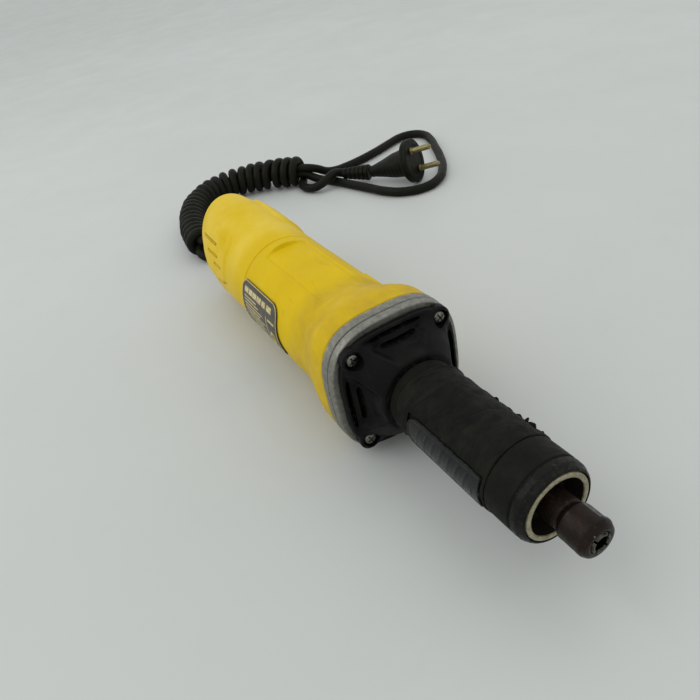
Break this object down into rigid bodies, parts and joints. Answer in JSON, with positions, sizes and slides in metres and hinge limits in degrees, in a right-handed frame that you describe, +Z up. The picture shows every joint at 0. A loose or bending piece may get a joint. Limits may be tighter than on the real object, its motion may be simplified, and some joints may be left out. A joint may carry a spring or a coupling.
{
  "type": "die grinder",
  "caption": "Corded long-neck die grinder: yellow motor housing, cast flange, black vent cover, rubber-covered neck, spindle with collet and nut, cord in a hank with a plug.",
  "frame": {"origin": "centre of the tool's footprint without its cord, on the surface the tool and the cord rest on", "axes": "+X along the tool axis towards the collet, +Z up, -Y the side with the rating plate"},
  "size_m": [0.5185, 0.2919, 0.0696],
  "materials": {
    "yellow_plastic": "worn satin moulding",
    "black_plastic": "matt moulding",
    "cast_metal": "bare casting, lightly oxidised",
    "black_rubber": "matt rubber",
    "grip_wrap": "stretched tape",
    "badge_plastic": "glossy blank strip",
    "plate_print": "printed label",
    "screw_steel": "zinc plated",
    "rusty_steel": "rusted and oily",
    "bright_steel": "ground",
    "bearing_steel": "polished",
    "copper": "enamelled and bare copper",
    "core_steel": "stacked laminations",
    "carbon": "pressed graphite",
    "brass": "turned",
    "fibre_board": "pressed fibre",
    "cord_pvc": "dusty black sheath",
    "cream_plastic": "moulded case"
  },
  "bodies": {
    "body": {"motor_housing": "yellow_plastic", "rear_cover": "yellow_plastic", "vent_cover": "black_plastic", "cord_clamp": "black_plastic", "switch_body": "black_plastic", "fan_baffle": "black_plastic", "rear_bearing_carrier": "black_plastic", "bearing_plate": "cast_metal", "nose_casting": "cast_metal", "neck_sleeve": "black_rubber", "end_band": "black_rubber", "cord_protector": "black_rubber", "grip_tape": "grip_wrap", "neck_badge": "badge_plastic", "rating_plate": "plate_print", "rear_screw_lower": "screw_steel", "rear_screw_upper": "screw_steel", "flange_screw_right_upper": "screw_steel", "flange_screw_left_upper": "screw_steel", "flange_screw_left_lower": "screw_steel", "flange_screw_right_lower": "screw_steel", "labyrinth_seal": "bright_steel", "brush_spring_lower": "bright_steel", "brush_spring_upper": "bright_steel", "armature_rear_bearing_outer_race": "bearing_steel", "armature_front_bearing_outer_race": "bearing_steel", "spindle_rear_bearing_outer_race": "bearing_steel", "spindle_front_bearing_outer_race": "bearing_steel", "field_coil_lower": "copper", "field_coil_upper": "copper", "field_core": "core_steel", "brush_holder_lower": "brass", "brush_holder_upper": "brass", "plug_pin_upper": "brass", "plug_pin_lower": "brass", "cord_lead": "cord_pvc", "cord_hank": "cord_pvc", "cord_loop": "cord_pvc", "cord_plug_lead": "cord_pvc", "plug_strain_relief": "cord_pvc", "plug_body": "cord_pvc", "interference_capacitor": "cream_plastic"},
    "rotor": {"armature_shaft": "bright_steel", "commutator": "copper", "armature_core": "core_steel", "armature_winding": "copper", "armature_insulator": "fibre_board", "fan": "black_plastic", "coupling": "bright_steel", "spindle": "rusty_steel", "armature_rear_bearing_inner_race": "bearing_steel", "armature_front_bearing_inner_race": "bearing_steel", "spindle_rear_bearing_inner_race": "bearing_steel", "spindle_front_bearing_inner_race": "bearing_steel"},
    "collet": {"collet": "bright_steel"},
    "nut": {"collet_nut": "rusty_steel"},
    "rocker": {"switch_rocker": "black_rubber"},
    "brush_lower": {"carbon_brush_lower": "carbon"},
    "brush_upper": {"carbon_brush_upper": "carbon"}
  },
  "joints": [
    {"name": "rotor_spin", "type": "hinge", "parent": "body", "child": "rotor", "pos_m": [0.0115, 0, 0.0348], "axis": [1, 0, 0], "continuous": true},
    {"name": "collet_slide", "type": "slide", "parent": "rotor", "child": "collet", "axis": [1, 0, 0], "range_m": [0, 0.002]},
    {"name": "nut_turn", "type": "hinge", "parent": "collet", "child": "nut", "pos_m": [0.1695, 0, 0.0348], "axis": [1, 0, 0], "range_deg": [0, 720]},
    {"name": "switch_rock", "type": "hinge", "parent": "body", "child": "rocker", "pos_m": [-0.1295, 0.027, 0.0348], "axis": [0, 0, 1], "range_deg": [0, 10]},
    {"name": "brush_lift_lower", "type": "slide", "parent": "body", "child": "brush_lower", "axis": [0, 0, -1], "range_m": [0, 0.0018], "stiffness_N_per_m": 250, "deforming": ["brush_spring_lower"]},
    {"name": "brush_lift_upper", "type": "slide", "parent": "body", "child": "brush_upper", "axis": [0, 0, 1], "range_m": [0, 0.0018], "stiffness_N_per_m": 250, "deforming": ["brush_spring_upper"]}
  ],
  "couplings": [
    {"joint": "nut_turn", "follows": "collet_slide", "rad_per_m": 6283.2}
  ]
}
